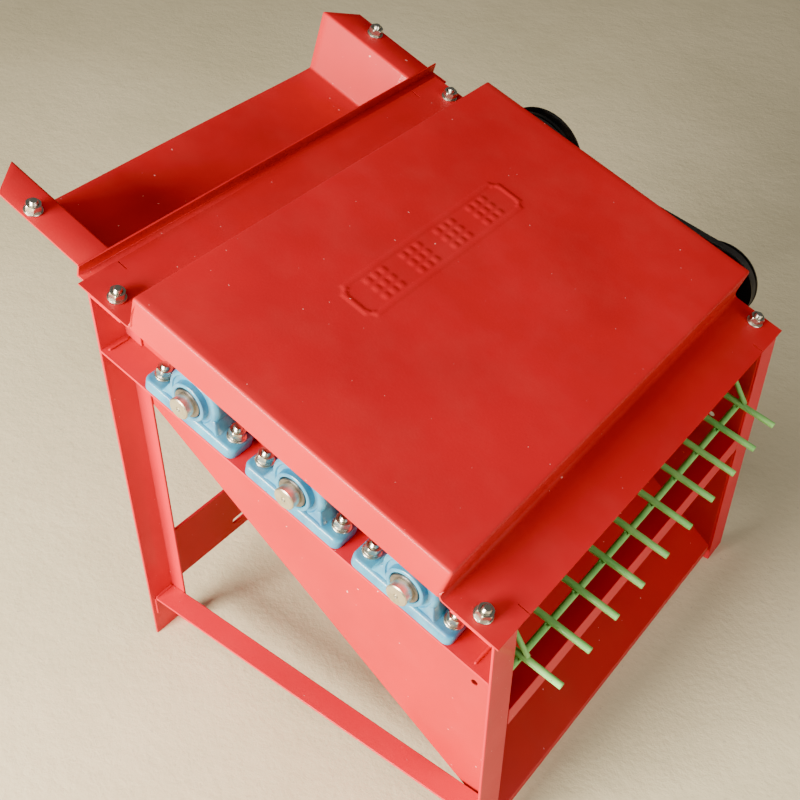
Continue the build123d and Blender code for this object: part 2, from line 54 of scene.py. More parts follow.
mm = 0.001
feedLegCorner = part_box("feed_leg_near")[0]
machine = {
    "feedLegX": -275.0, "halfWidth": 306.0, "axisHeight": 436.0,
    "railSlope": 16.3, "lidTilt": 1.6, "trayTilt": 2.0, "lidRise": 27.2,
    "shaftPitch": 145.0, "bearingY": 287.0,
    "headerTop": (-321.0, 12.0),      # along and above the lid's flange plane
}
originShift = np.array([
    feedLegCorner.x / mm - machine["feedLegX"],
    feedLegCorner.y / mm + machine["halfWidth"],
    0.0,
])


def slopeFrame(x, z, degrees, base=None):
    # a frame turned about Y by the slope, with its origin at x and z of the base frame
    t = math.radians(degrees)
    m = np.array([[math.cos(t), 0, math.sin(t), x], [0, 1, 0, 0],
                  [-math.sin(t), 0, math.cos(t), z], [0, 0, 0, 1.0]])
    return m if base is None else base @ m


def shifted(base, x=0.0, y=0.0, z=0.0):
    m = np.eye(4)
    m[:3, 3] = (x, y, z)
    return base @ m


def turned(base, degrees, axis):
    return base @ np.array(Matrix.Rotation(math.radians(degrees), 4, axis))


railFrame = slopeFrame(0, machine["axisHeight"], machine["railSlope"])
lidFrame = slopeFrame(0, machine["lidRise"], machine["lidTilt"], railFrame)
trayOrigin = shifted(lidFrame, machine["headerTop"][0], 0, machine["headerTop"][1])[:3, 3]
trayFrame = slopeFrame(trayOrigin[0], trayOrigin[2],
                       machine["railSlope"] + machine["lidTilt"] + machine["trayTilt"])
shaftU = (-machine["shaftPitch"], 0.0, machine["shaftPitch"])


def hexColour(text):
    # sRGB hex to linear: the standard two-part curve
    c = np.array([int(text[i:i + 2], 16) for i in (1, 3, 5)]) / 255
    lin = np.where(c <= 0.04045, c / 12.92, ((c + 0.055) / 1.055) ** 2.4)
    return (*lin, 1.0)


def addNode(tree, kind, settings=None, links=None):
    node = tree.nodes.new(kind)
    for key, value in (settings or {}).items():
        if isinstance(key, int) or key in node.inputs:
            node.inputs[key].default_value = value
        else:
            setattr(node, key, value)
    for key, source in (links or {}).items():
        tree.links.new(source, node.inputs[key])
    return node


def startMaterial(name, settings):
    material = bpy.data.materials.new(name)
    material.use_nodes = True
    tree = material.node_tree
    tree.nodes.clear()
    shader = addNode(tree, "ShaderNodeBsdfPrincipled", settings)
    addNode(tree, "ShaderNodeOutputMaterial", links={"Surface": shader.outputs[0]})
    place = addNode(tree, "ShaderNodeTexCoord").outputs["Object"]
    return material, tree, shader, place


def ramp(tree, source, low, high, colours=("#000000", "#ffffff")):
    node = addNode(tree, "ShaderNodeValToRGB", links={0: source})
    for element, at, colour in zip(node.color_ramp.elements, (low, high), colours):
        element.position = at
        element.color = hexColour(colour)
    return node.outputs[0]


def mixColour(tree, factor, first, second):
    node = addNode(tree, "ShaderNodeMix", {"data_type": "RGBA"}, {0: factor})
    for socket, value in ((node.inputs[6], first), (node.inputs[7], second)):
        if isinstance(value, str):
            socket.default_value = hexColour(value)
        else:
            tree.links.new(value, socket)
    return node.outputs[2]


def noise(tree, place, sizeMm, detail=2.0, rough=0.5):
    node = addNode(tree, "ShaderNodeTexNoise",
                   {"Scale": 1000.0 / sizeMm, "Detail": detail, "Roughness": rough},
                   {"Vector": place})
    return node.outputs[0]


def bumpChain(tree, shader, layers):
    # each layer is a height between 0 and 1 and its real depth in millimetres
    last = None
    for height, depth in layers:
        links = {"Height": height}
        if last is not None:
            links["Normal"] = last
        last = addNode(tree, "ShaderNodeBump", {"Strength": 1.0, "Distance": depth * mm},
                       links).outputs[0]
    tree.links.new(last, shader.inputs["Normal"])


def enamel(name, look):
    # Brushed-on or sprayed alkyd enamel over mild steel: deep colour under a soft gloss, with
    # orange peel, a little settled dust and small chips down to the pale filler below.
    material, tree, shader, place = startMaterial(name, {
        "Roughness": look["roughness"], "IOR": 1.5, "Coat Weight": look["coat"],
        "Coat Roughness": look["coatRoughness"], "Coat IOR": 1.5, "Specular IOR Level": 0.35,
    })
    cloud = noise(tree, place, look["cloudMm"], 3.0)
    base = mixColour(tree, ramp(tree, cloud, 0.35, 0.68), look["colour"], look["shade"])
    speck = noise(tree, place, look["chipMm"], 1.0)
    chips = ramp(tree, speck, look["chipFrom"], look["chipFrom"] + 0.02)
    base = mixColour(tree, chips, base, look["chipColour"])
    dust = noise(tree, place, look["dustMm"], 4.0, 0.6)
    film = addNode(tree, "ShaderNodeMath", {"operation": "MULTIPLY", 1: look["dust"]},
                   {0: ramp(tree, dust, 0.45, 0.75)}).outputs[0]
    base = mixColour(tree, film, base, "#b09a84")
    tree.links.new(base, shader.inputs["Base Color"])
    rough = addNode(tree, "ShaderNodeMapRange",
                    {3: look["roughness"], 4: look["roughness"] + 0.18}, {0: dust}).outputs[0]
    tree.links.new(rough, shader.inputs["Roughness"])
    bumpChain(tree, shader, [
        (noise(tree, place, look["peelMm"], 1.5), look["peelDepth"]),
        (noise(tree, place, look["waveMm"], 1.0), look["waveDepth"]),
    ])
    return material


redLook = {
    "colour": "#b40414", "shade": "#a80312", "roughness": 0.5, "coat": 0.12,
    "coatRoughness": 0.12, "cloudMm": 160, "chipMm": 5, "chipFrom": 0.80,
    "chipColour": "#d98a84", "dustMm": 60, "dust": 0.02,
    "peelMm": 3.0, "peelDepth": 0.05, "waveMm": 70, "waveDepth": 0.5,
}
lidPaint = enamel("gloss red enamel on bent sheet", redLook)
sheetPaint = enamel("gloss red enamel on folded sheet", {
    **redLook, "chipMm": 6, "chipFrom": 0.79, "cloudMm": 110})
framePaint = enamel("brushed red enamel on angle steel", {
    **redLook, "colour": "#c40424", "shade": "#b4041f", "peelMm": 2.2, "peelDepth": 0.09,
    "chipMm": 4, "chipFrom": 0.79, "waveDepth": 0.25})
bluePaint = enamel("light blue enamel on cast iron", {
    **redLook, "colour": "#368cae", "shade": "#226b92", "chipColour": "#2c4a5c",
    "chipMm": 3.5, "chipFrom": 0.76, "cloudMm": 22, "peelMm": 1.6, "peelDepth": 0.16,
    "waveMm": 9, "waveDepth": 0.25, "dust": 0.12, "dustMm": 18, "roughness": 0.36,
    "coat": 0.6, "coatRoughness": 0.16})
greenPaint = enamel("green enamel on drawn bar", {
    **redLook, "colour": "#84c46c", "shade": "#5ba552", "chipColour": "#5b4a38",
    "chipMm": 3.0, "chipFrom": 0.77, "cloudMm": 40, "peelMm": 2.0, "peelDepth": 0.08,
    "waveMm": 12, "waveDepth": 0.15, "dust": 0.10, "dustMm": 25})
blackPaint = enamel("satin black enamel on cast iron", {
    **redLook, "colour": "#17181a", "shade": "#0f1011", "chipColour": "#6d6a66",
    "chipMm": 3.0, "chipFrom": 0.80, "roughness": 0.42, "coat": 0.25,
    "coatRoughness": 0.25, "peelMm": 1.5, "peelDepth": 0.12, "cloudMm": 30, "dust": 0.1})


def bareSteel(name, look):
    # Worked steel: fine lathe or grinding lines along one axis and a faint stain.
    material, tree, shader, place = startMaterial(name, {
        "Metallic": 1.0, "Roughness": look["roughness"]})
    stain = noise(tree, place, look["stainMm"], 4.0, 0.6)
    base = mixColour(tree, ramp(tree, stain, 0.4, 0.75), look["colour"], look["shade"])
    tree.links.new(base, shader.inputs["Base Color"])
    rough = addNode(tree, "ShaderNodeMapRange",
                    {3: look["roughness"] - 0.06, 4: look["roughness"] + 0.16},
                    {0: stain}).outputs[0]
    tree.links.new(rough, shader.inputs["Roughness"])
    stretch = addNode(tree, "ShaderNodeMapping", {"Scale": look["lines"]},
                      {"Vector": place}).outputs[0]
    bumpChain(tree, shader, [(noise(tree, stretch, look["lineMm"], 2.0), look["depth"])])
    return material


zincPlate = bareSteel("bright zinc plate", {
    "colour": "#d3d2c8", "shade": "#b9b6a6", "roughness": 0.24, "stainMm": 6,
    "lines": (1, 1, 1), "lineMm": 1.2, "depth": 0.03})
turnedSteel = bareSteel("turned bright shaft steel", {
    "colour": "#d8d2c0", "shade": "#b3a98f", "roughness": 0.30, "stainMm": 14,
    "lines": (0.05, 1, 0.05), "lineMm": 0.5, "depth": 0.02})
raceSteel = bareSteel("ground bearing steel", {
    "colour": "#8c8a88", "shade": "#5f5c5a", "roughness": 0.28, "stainMm": 10,
    "lines": (0.05, 1, 0.05), "lineMm": 0.4, "depth": 0.02})
drumSteel = bareSteel("welded drum steel", {
    "colour": "#6e655c", "shade": "#4a3d33", "roughness": 0.5, "stainMm": 25,
    "lines": (1, 1, 1), "lineMm": 2.0, "depth": 0.12})


def rubber(name, look):
    # Moulded rubber with a fabric-wrapped or satin skin.
    material, tree, shader, place = startMaterial(name, {
        "Roughness": look["roughness"], "IOR": 1.52})
    cloud = noise(tree, place, 8, 3.0)
    base = mixColour(tree, ramp(tree, cloud, 0.35, 0.7), look["colour"], look["shade"])
    tree.links.new(base, shader.inputs["Base Color"])
    bumpChain(tree, shader, [(noise(tree, place, look["grainMm"], 1.0), look["depth"])])
    return material


beltRubber = rubber("wrapped belt rubber", {
    "colour": "#1b1b1c", "shade": "#2b2927", "roughness": 0.78, "grainMm": 1.2, "depth": 0.12})
sealRubber = rubber("nitrile seal", {
    "colour": "#141415", "shade": "#1e1e1f", "roughness": 0.5, "grainMm": 1.0, "depth": 0.03})
print("materials ready")


def gridFaces(rows, columns, closeRows=False, closeColumns=False, keep=None):
    # quads of a rows x columns grid, wrapped round either way if asked
    r = np.arange(rows if closeRows else rows - 1)
    c = np.arange(columns if closeColumns else columns - 1)
    rr, cc = np.meshgrid(r, c, indexing="ij")
    r2, c2 = (rr + 1) % rows, (cc + 1) % columns
    quads = np.stack([rr * columns + cc, rr * columns + c2,
                      r2 * columns + c2, r2 * columns + cc], -1)
    if keep is not None:
        quads = quads[keep[:quads.shape[0], :quads.shape[1]]]
    return quads.reshape(-1, 4)


def placed(points, matrix):
    flat = np.asarray(points, float).reshape(-1, 3)
    return flat @ matrix[:3, :3].T + matrix[:3, 3]


def buildPiece(name, parts, material, body, nodes=(), merge=0, smooth=35, fixNormals=True):
    # parts are (points in machine millimetres, face arrays...); they become one mesh at the origin
    points, faces, start = [], [], 0
    for p, *groups in parts:
        points.append(p)
        for group in groups:
            faces += (group + start).tolist()
        start += len(p)
    co = (np.concatenate(points) + originShift) * mm
    mesh = bpy.data.meshes.new(name)
    mesh.from_pydata(co.tolist(), [], faces)
    work = bmesh.new()
    work.from_mesh(mesh)
    if merge:
        bmesh.ops.remove_doubles(work, verts=work.verts, dist=merge * mm)
    if fixNormals:
        bmesh.ops.recalc_face_normals(work, faces=work.faces)
    work.to_mesh(mesh)
    work.free()
    return finishPiece(name, mesh, material, body, nodes, smooth)


def finishPiece(name, mesh, material, body, nodes, smooth):
    piece = bpy.data.objects.new(name, mesh)
    bpy.context.scene.collection.objects.link(piece)
    mesh.materials.clear()
    mesh.materials.append(material)
    mesh.polygons.foreach_set("use_smooth", np.ones(len(mesh.polygons), bool))
    mesh.set_sharp_from_angle(angle=math.radians(smooth))
    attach(piece, body)
    if nodes:
        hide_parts(*nodes)
    return piece


def lathe(profile, matrix, sides=48):
    # a profile of (radius, distance along Y) carried round the local Y axis
    angle = np.arange(sides) * 2 * np.pi / sides
    radius, along = np.array(profile).T
    grid = np.zeros((len(radius), sides, 3))
    grid[..., 0] = radius[:, None] * np.sin(angle)
    grid[..., 1] = along[:, None]
    grid[..., 2] = radius[:, None] * np.cos(angle)
    return placed(grid, matrix), gridFaces(len(radius), sides, closeColumns=True)


def softCopy(name, node, material, width):
    # a merged copy of a folded or rolled piece with its sharp arrises broken
    mesh = frame["nodes"][node].data.copy()
    mesh.name = name
    work = bmesh.new()
    work.from_mesh(mesh)
    bmesh.ops.remove_doubles(work, verts=work.verts, dist=0.005 * mm)
    bmesh.ops.dissolve_limit(work, angle_limit=math.radians(0.5), verts=work.verts, edges=work.edges)
    bmesh.ops.recalc_face_normals(work, faces=work.faces)
    work.to_mesh(mesh)
    work.free()
    piece = finishPiece(name, mesh, material, "frame", (node,), 40)
    bevel = piece.modifiers.new("brokenEdges", "BEVEL")
    bevel.width = width * mm
    bevel.segments = 2
    bevel.limit_method = "ANGLE"
    bevel.angle_limit = math.radians(40)
    return piece


def faceUp(piece):
    # an open shell is turned so that, summed over its area, it looks up
    polygons = piece.data.polygons
    normal, area = np.zeros((len(polygons), 3)), np.zeros(len(polygons))
    polygons.foreach_get("normal", normal.ravel())
    polygons.foreach_get("area", area)
    if normal[:, 2] @ area < 0:
        piece.data.flip_normals()


def thicken(piece, sheet):
    # a folded sheet's real thickness, its cut edges broken by a third of a millimetre
    wall = piece.modifiers.new("sheet", "SOLIDIFY")
    wall.thickness = sheet * mm
    wall.offset = -1
    edge = piece.modifiers.new("cutEdges", "BEVEL")
    edge.width = 0.35 * mm
    edge.segments = 2
    edge.limit_method = "ANGLE"
    edge.angle_limit = math.radians(60)
    solid = bpy.data.meshes.new_from_object(piece.evaluated_get(bpy.context.evaluated_depsgraph_get()))
    piece.modifiers.clear()
    piece.data = solid
    solid.set_sharp_from_angle(angle=math.radians(35))


lidSizes = {
    "flangeFeed": -310.0, "topFeed": -236.0, "topDischarge": 179.0, "flangeDischarge": 251.0,
    "height": 44.5, "halfWidth": 306.0, "edgeRadius": 3.5, "feedRootRadius": 3.0,
    "dischargeRootRadius": 6.0, "sheet": 2.0, "slitInset": 53.0, "slitWide": 1.6,
    "slitDeep": 15.0, "sag": 0.7,
}
crestSizes = {
    "u": -91.0, "y": 12.0, "halfAlong": 27.0, "halfAcross": 145.0, "notch": 9.0,
    "ridge": 3.2, "rise": 0.8, "pipRise": 0.75, "pipPitch": 13.0, "pipSize": 4.6,
    "group": 62.0,
}


def smoothStep(x):
    t = np.clip(x, 0, 1)
    return t * t * (3 - 2 * t)


def crestHeight(u, y):
    # pressed border with notched corners, and rows of kernel-shaped pips in four groups inside
    s = crestSizes
    a, b = np.abs(u - s["u"]), np.abs(y - s["y"])
    edge = np.maximum(a - s["halfAlong"], b - s["halfAcross"])
    corner = np.maximum(a - (s["halfAlong"] - s["notch"]), b - (s["halfAcross"] - s["notch"]))
    cut = s["notch"] - np.hypot(np.maximum(s["halfAlong"] - a, 0), np.maximum(s["halfAcross"] - b, 0))
    outline = np.where(corner > 0, np.maximum(edge, cut), edge)
    border = s["rise"] * smoothStep(1.6 - np.abs(outline + s["ridge"]) / s["ridge"] * 1.2)
    group = s["group"]
    across = np.mod(y - s["y"] + 2 * group, group) - group / 2
    pu = np.mod(u - s["u"] + s["pipPitch"] / 2, s["pipPitch"]) - s["pipPitch"] / 2
    py = np.mod(across + s["pipPitch"] / 2, s["pipPitch"]) - s["pipPitch"] / 2
    r = (np.abs(pu / s["pipSize"]) ** 3 + np.abs(py / s["pipSize"]) ** 3) ** (1 / 3)
    inside = (a < 1.5 * s["pipPitch"]) & (b < 2 * group) & (np.abs(across) < 1.5 * s["pipPitch"])
    pips = s["pipRise"] * smoothStep(1.5 - r * 1.1) * inside
    return border + pips


def lidSection():
    # path along the lid: flange, root bend, rise, edge bend, top, edge bend, drop, root bend, flange
    s = lidSizes
    r, ra, rb, h = s["edgeRadius"], s["feedRootRadius"], s["dischargeRootRadius"], s["height"]
    u0, u1 = s["topFeed"], s["topDischarge"]
    quarter = np.linspace(0, np.pi / 2, 7)
    flangeA = np.array([(u, 0.0) for u in (s["flangeFeed"], s["flangeFeed"] + 5,
                                            s["flangeFeed"] + s["slitDeep"], -280, -262, -248)])
    rootA = np.stack([u0 - ra + ra * np.sin(quarter), ra - ra * np.cos(quarter)], -1)
    riseA = np.stack([np.full(3, u0), np.linspace(ra + 4, h - r - 4, 3)], -1)
    bendA = np.stack([u0 + r - r * np.cos(quarter), h - r + r * np.sin(quarter)], -1)
    crest = crestSizes["u"]
    topU = np.concatenate([np.linspace(u0 + r + 8, crest - 36, 10), np.arange(crest - 32, crest + 33, 1.5),
                           np.linspace(crest + 36, u1 - r - 4, 16)])
    top = np.stack([topU, np.full(len(topU), h)], -1)
    bendB = np.stack([u1 - r + r * np.sin(quarter), h - r + r * np.cos(quarter)], -1)
    dropB = np.stack([np.full(2, u1), np.array([h - r - 5, rb + 5])], -1)
    rootB = np.stack([u1 + rb - rb * np.cos(quarter), rb - rb * np.sin(quarter)], -1)
    flangeB = np.array([(u, 0.0) for u in (u1 + rb + 10, 215, 225, s["flangeDischarge"] - s["slitDeep"],
                                            s["flangeDischarge"] - 5, s["flangeDischarge"])])
    pieces = [flangeA, rootA, riseA, bendA, top, bendB, dropB, rootB, flangeB]
    return np.concatenate(pieces), np.cumsum([0] + [len(p) for p in pieces])


def lidShell():
    s = lidSizes
    r = s["edgeRadius"]
    path, marks = lidSection()
    slit = s["halfWidth"] - s["slitInset"]
    inner = s["halfWidth"] - r
    crossY = np.concatenate([
        np.linspace(-inner, -slit - 6, 6), [-slit - s["slitWide"] / 2, -slit + s["slitWide"] / 2],
        np.linspace(-slit + 12, crestSizes["y"] - 156, 8),
        np.arange(crestSizes["y"] - 150, crestSizes["y"] + 151, 2.0),
        np.linspace(crestSizes["y"] + 156, slit - 12, 8),
        [slit - s["slitWide"] / 2, slit + s["slitWide"] / 2], np.linspace(slit + 6, inner, 6)])
    # the whole surface: path along u and w, straight across in y
    rows = np.zeros((len(path), len(crossY), 3))
    rows[..., 0] = path[:, None, 0]
    rows[..., 1] = crossY[None, :]
    rows[..., 2] = path[:, None, 1]
    wideRows = np.zeros(len(path), bool)
    wideRows[:marks[2]] = True
    wideRows[marks[7]:] = True
    rows[wideRows, 0, 1], rows[wideRows, -1, 1] = -s["halfWidth"], s["halfWidth"]
    # a relief slit at each end of both flanges: the two outermost cells of the narrow column are left out
    keep = np.ones((len(path) - 1, len(crossY) - 1), bool)
    for column in (6, len(crossY) - 8):
        keep[:2, column] = False
        keep[-2:, column] = False
    parts = [(lidPoints(rows), gridFaces(*rows.shape[:2], keep=keep))]
    # edge bend along each side, then the flat skirt below it
    wall = path[marks[2]:marks[7]]
    tangent = np.gradient(wall, axis=0)
    tangent /= np.linalg.norm(tangent, axis=1)[:, None]
    normal = np.stack([-tangent[:, 1], tangent[:, 0]], -1)
    wall = np.concatenate([[(s["topFeed"], 0)], wall, [(s["topDischarge"], 0)]])
    normal = np.concatenate([[(-1, 0)], normal, [(1, 0)]])
    arc = np.linspace(0, np.pi / 2, 5)
    for side in (-1, 1):
        bend = np.zeros((len(arc), len(wall), 3))
        bend[..., 0] = wall[None, :, 0] - r * normal[None, :, 0] * (1 - np.cos(arc))[:, None]
        bend[..., 1] = side * (inner + r * np.sin(arc))[:, None]
        bend[..., 2] = wall[None, :, 1] - r * normal[None, :, 1] * (1 - np.cos(arc))[:, None]
        edge = bend[-1]
        depth = np.array([0.0, 0.3, 0.7, 1.0])
        skirt = np.repeat(edge[None], len(depth), 0)
        skirt[..., 2] = edge[None, :, 2] * (1 - depth)[:, None]
        for surface in (bend, skirt):
            faces = gridFaces(*surface.shape[:2])
            parts.append((lidPoints(surface), faces[:, ::-1] if side < 0 else faces))
    return parts


def lidPoints(grid):
    # press the crest, let the top sag and ripple a little, then place it
    s = lidSizes
    g = grid.reshape(-1, 3).copy()
    onTop = smoothStep((g[:, 2] - s["height"] * 0.6) / (s["height"] * 0.4))
    u = (g[:, 0] - s["topFeed"]) / (s["topDischarge"] - s["topFeed"])
    v = g[:, 1] / s["halfWidth"]
    dome = (1 - v ** 2) * np.clip(4 * u * (1 - u), 0, 1)
    ripple = np.sin(3.1 * v * np.pi + 0.7) * np.cos(2.3 * u * np.pi) * (1 - v ** 4)
    g[:, 2] += onTop * (crestHeight(g[:, 0], g[:, 1]) - s["sag"] * dome + 0.25 * ripple)
    return placed(g, lidFrame)


lid = buildPiece("lidShell", lidShell(), lidPaint, "frame", ("lid",), merge=0.05)
faceUp(lid)
thicken(lid, lidSizes["sheet"])
print("lid ready")

traySizes = {
    "halfWidth": 297.0, "flange": 42.0, "splay": 22.0, "depth": 72.0, "sheet": 2.0,
    "feedEnd": -152.7, "chamfer": 30.0, "lean": 17.0, "tongue": 75.0, "lip": 17.0, "bend": 4.0,
}


def bentPath(corners, radius, steps=6):
    # a polyline whose inner corners are replaced by arcs of the bend radius
    out = [np.array(corners[0], float)]
    for before, corner, after in zip(corners, corners[1:], corners[2:]):
        corner = np.array(corner, float)
        a = np.array(before, float) - corner
        b = np.array(after, float) - corner
        a, b = a / np.linalg.norm(a), b / np.linalg.norm(b)
        half = math.acos(np.clip(a @ b, -1, 1)) / 2
        back = radius / math.tan(half)
        centre = corner + (a + b) / np.linalg.norm(a + b) * radius / math.sin(half)
        start, end = corner + a * back - centre, corner + b * back - centre
        sweep = math.acos(np.clip(start @ end / radius ** 2, -1, 1))
        t = np.linspace(0, 1, steps)[:, None]
        out.extend(centre + (np.sin((1 - t) * sweep) * start + np.sin(t * sweep) * end) / math.sin(sweep))
    out.append(np.array(corners[-1], float))
    return np.array(out)


def trayShell():
    s = traySizes
    top = s["halfWidth"] - s["flange"]
    low = top - s["splay"]
    lipW = -s["depth"] + s["lip"]
    lipY = low + s["splay"] * s["lip"] / s["depth"]
    half = bentPath([(0, -s["depth"]), (low, -s["depth"]), (top, 0), (s["halfWidth"], 0)], s["bend"])
    wallRun = np.where((half[:-1, 1] < -s["depth"] * 0.7) & (half[1:, 1] > -s["depth"] * 0.3))[0][0]
    extra = np.array([(lipY, lipW), ((lipY + top) / 2, lipW / 2)])
    half = np.concatenate([half[:wallRun + 1], extra, half[wallRun + 1:]])
    share = np.linspace(0.1, 0.9, 9)[:, None]
    half = np.concatenate([half[:1], share * half[1] + (1 - share) * half[0], half[1:]])
    section = np.concatenate([half[::-1] * (-1, 1), half[1:]])
    y, w = section[:, 0], section[:, 1]
    # feed end: chamfered over the flanges, leaning out towards the floor on the walls
    over = np.clip((np.abs(y) - top) / s["flange"], 0, 1)
    depth = np.clip(-w / s["depth"], 0, 1)
    start = s["feedEnd"] + s["chamfer"] * over + s["lean"] * depth
    back = np.linspace(0, 1, 14)
    inside = np.linspace(0, s["tongue"], 5)[1:]
    along = np.concatenate([(1 - back)[:, None] * start, np.repeat(inside[:, None], len(y), 1)])
    grid = np.zeros((*along.shape, 3))
    grid[..., 0] = along
    grid[..., 1] = y[None]
    grid[..., 2] = w[None]
    dent = 0.5 * np.sin(grid[..., 0] / 31) * np.cos(grid[..., 1] / 67) * (np.abs(grid[..., 1]) < low - 10)
    grid[..., 2] += dent
    # inside the casing only the floor and a low lip go on
    keep = np.ones((len(along) - 1, len(y) - 1), bool)
    upper = (w[:-1] > lipW - 0.01) & (w[1:] > lipW - 0.01)
    keep[len(back) - 1:, upper] = False
    return [(placed(grid, trayFrame), gridFaces(*grid.shape[:2], keep=keep))]


tray = buildPiece("feedTrayShell", trayShell(), sheetPaint, "frame", ("feed_tray",),
                  merge=0.02, fixNormals=False)
faceUp(tray)
thicken(tray, traySizes["sheet"])
for node, material, slot in (
    ("inlet_header", sheetPaint, "sheet_paint"), ("feed_end_plate", sheetPaint, "sheet_paint"),
    ("side_panel_near", sheetPaint, "sheet_paint"), ("side_panel_far", sheetPaint, "sheet_paint"),
    ("chute_floor", sheetPaint, "sheet_paint"), ("motor_crossbar", framePaint, "frame_paint"),
    ("discharge_crossmember", framePaint, "frame_paint"), ("lid_seat_tabs", framePaint, "frame_paint"),
    ("feed_leg_near", framePaint, "frame_paint"), ("feed_leg_far", framePaint, "frame_paint"),
    ("discharge_leg_near", framePaint, "frame_paint"), ("discharge_leg_far", framePaint, "frame_paint"),
    ("lower_rail_near", framePaint, "frame_paint"), ("lower_rail_far", framePaint, "frame_paint"),
    ("bearing_rail_near", framePaint, "frame_paint"), ("bearing_rail_far", framePaint, "frame_paint"),
):
    words = node.split("_")
    softCopy(words[0] + "".join(w.capitalize() for w in words[1:]), node, material,
             0.5 if material is sheetPaint else 0.8)
print("sheet and angles ready")

blockSizes = {
    "seat": -36.5, "footHeight": 15.0, "footHalf": 65.0, "footWide": 19.0, "footCorner": 9.0,
    "shoulderHalf": 31.0, "shoulderRun": 11.0, "shoulderTop": -5.0,
    "web": 14.6, "webFlare": 1.6, "webReach": 47.0, "webCup": 27.6,
    "bore": 26.02, "radius": 34.5, "halfWidth": 14.5, "eye": 17.9, "collar": 22.5,
    "outFace": 21.5, "nippleTurn": 28.0, "boltHalf": 52.5, "shelf": 3.0,
}


def footOutline(inset, sides=64):
    # outline of the foot: a rectangle with rounded corners, drawn in by the inset
    s = blockSizes
    a = (np.arange(sides) + 0.5) * 2 * np.pi / sides
    r = max(s["footCorner"] - inset, 0.3)
    halves = [max(s[k] - max(s["footCorner"], inset + 0.3), 0.02) for k in ("footHalf", "footWide")]
    u = np.where(np.cos(a) > 0, 1, -1) * halves[0] + r * np.cos(a)
    return u, np.where(np.sin(a) > 0, 1, -1) * halves[1] + r * np.sin(a)


def pillowBlock(matrix, outward):
    s = blockSizes
    top = s["seat"] + s["footHeight"]
    parts = []
    # foot: the outline carried up a profile of (inset, height), drawn in to the middle at both ends
    seat, middle = s["seat"], s["footWide"] - 0.1
    rows = [(middle, seat), (1.0, seat), (0.2, seat + 0.8), (0.0, top - 3.5), (0.5, top - 1.6),
            (1.8, top - 0.4), (4.0, top), (middle, top)]
    grid = []
    for inset, height in rows:
        u, y = footOutline(inset)
        grid.append(np.stack([u, y, np.full(len(u), height)], -1))
    grid = np.array(grid)
    parts.append((placed(grid, matrix), gridFaces(*grid.shape[:2], closeColumns=True)))
    # shoulders: crest h(u) falls from the collar to the foot along a half cosine, and dips under the bore
    reach, cup = s["webReach"], s["webCup"]
    u = np.unique(np.concatenate([np.linspace(-reach, reach, 48), np.linspace(-28, 28, 41)]))
    fall = 0.5 - 0.5 * np.cos(np.pi * np.clip((np.abs(u) - s["shoulderHalf"]) / s["shoulderRun"], 0, 1))
    crest = s["shoulderTop"] + (top - 1 - s["shoulderTop"]) * fall
    crest = np.minimum(crest, -np.sqrt(np.maximum(cup ** 2 - u ** 2, 0)))
    wide = s["web"] + s["webFlare"] * fall
    loop = np.array([(-1, 0.0), (-1, 0.55), (-1, 0.86), (-0.93, 0.96), (-0.8, 1.0), (0.8, 1.0), (0.93, 0.96),
                     (1, 0.86), (1, 0.55), (1, 0.0)])
    low = seat + 4
    web = np.zeros((len(u), len(loop), 3))
    web[..., 0] = u[:, None]
    web[..., 1] = wide[:, None] * loop[:, 0]
    web[..., 2] = low + (crest - low)[:, None] * loop[:, 1]
    parts.append((placed(web, matrix), gridFaces(len(u), len(loop), closeColumns=True)))
    # round body turned about Y; the side away from the drum carries the stepped collar
    r, h, eye, collar = s["radius"], s["halfWidth"], s["eye"], s["collar"]
    outer = [(s["bore"], 9.2), (eye, 9.2), (eye, s["outFace"] - 0.8), (eye + 0.8, s["outFace"]),
             (collar - 0.8, s["outFace"]), (collar, s["outFace"] - 0.7), (collar + 0.5, h - 0.6),
             (collar + 1.6, h - 1.5), (27.4, h - 1.6), (28.0, h - 0.9), (28.6, h), (31.0, h),
             (32.2, h - 0.9), (33.9, h - 3.0), (r, h - 5.0), (r, 5.0)]
    inner = [(s["bore"], h - 1.8), (s["bore"] + 0.6, h - 1.4), (28.6, h - 0.3), (31.0, h), (33.4, h - 1.2),
             (r, h - 3.0), (r, 5.0)]
    nearSide, farSide = (outer, inner) if outward < 0 else (inner, outer)
    profile = [(a, -b) for a, b in nearSide] + farSide[::-1]
    points, _ = lathe(profile, matrix, 72)
    parts.append((points, gridFaces(len(profile), 72, closeRows=True, closeColumns=True)))
    return parts


def ringsAt(profile, matrix, sides=48, closed=True):
    # a profile of (radius, height) carried round the local Z; a radius may be a function of the angle
    angle = np.arange(sides) * 2 * np.pi / sides
    rows = []
    for radius, z in profile:
        r = radius(angle) if callable(radius) else np.full(sides, radius, float)
        rows.append(np.stack([r * np.cos(angle), r * np.sin(angle), np.full(sides, z)], -1))
    return placed(np.array(rows), matrix), gridFaces(len(profile), sides, closeRows=closed, closeColumns=True)


def hexagon(flat, limit):
    return lambda a: np.minimum(flat / np.cos(np.mod(a, np.pi / 3) - np.pi / 6), limit)


fastenerSizes = {
    "flat": 8.0, "nut": 8.4, "head": 6.4, "washer": 10.5, "washerThick": 2.0, "spring": 9.0,
    "springThick": 2.4, "shank": 4.95, "pitch": 1.5, "threadDeep": 0.55, "proud": 4.0,
}


def nutParts(matrix, z):
    f = fastenerSizes
    full, cham = hexagon(f["flat"], 99), hexagon(f["flat"], f["flat"] * 1.03)
    high = z + f["nut"]
    return [ringsAt([(5.1, z + 0.5), (5.7, z), (cham, z), (full, z + 1.0), (full, high - 1.0), (cham, high),
                     (5.8, high), (5.1, high - 0.8)], matrix, 72)]


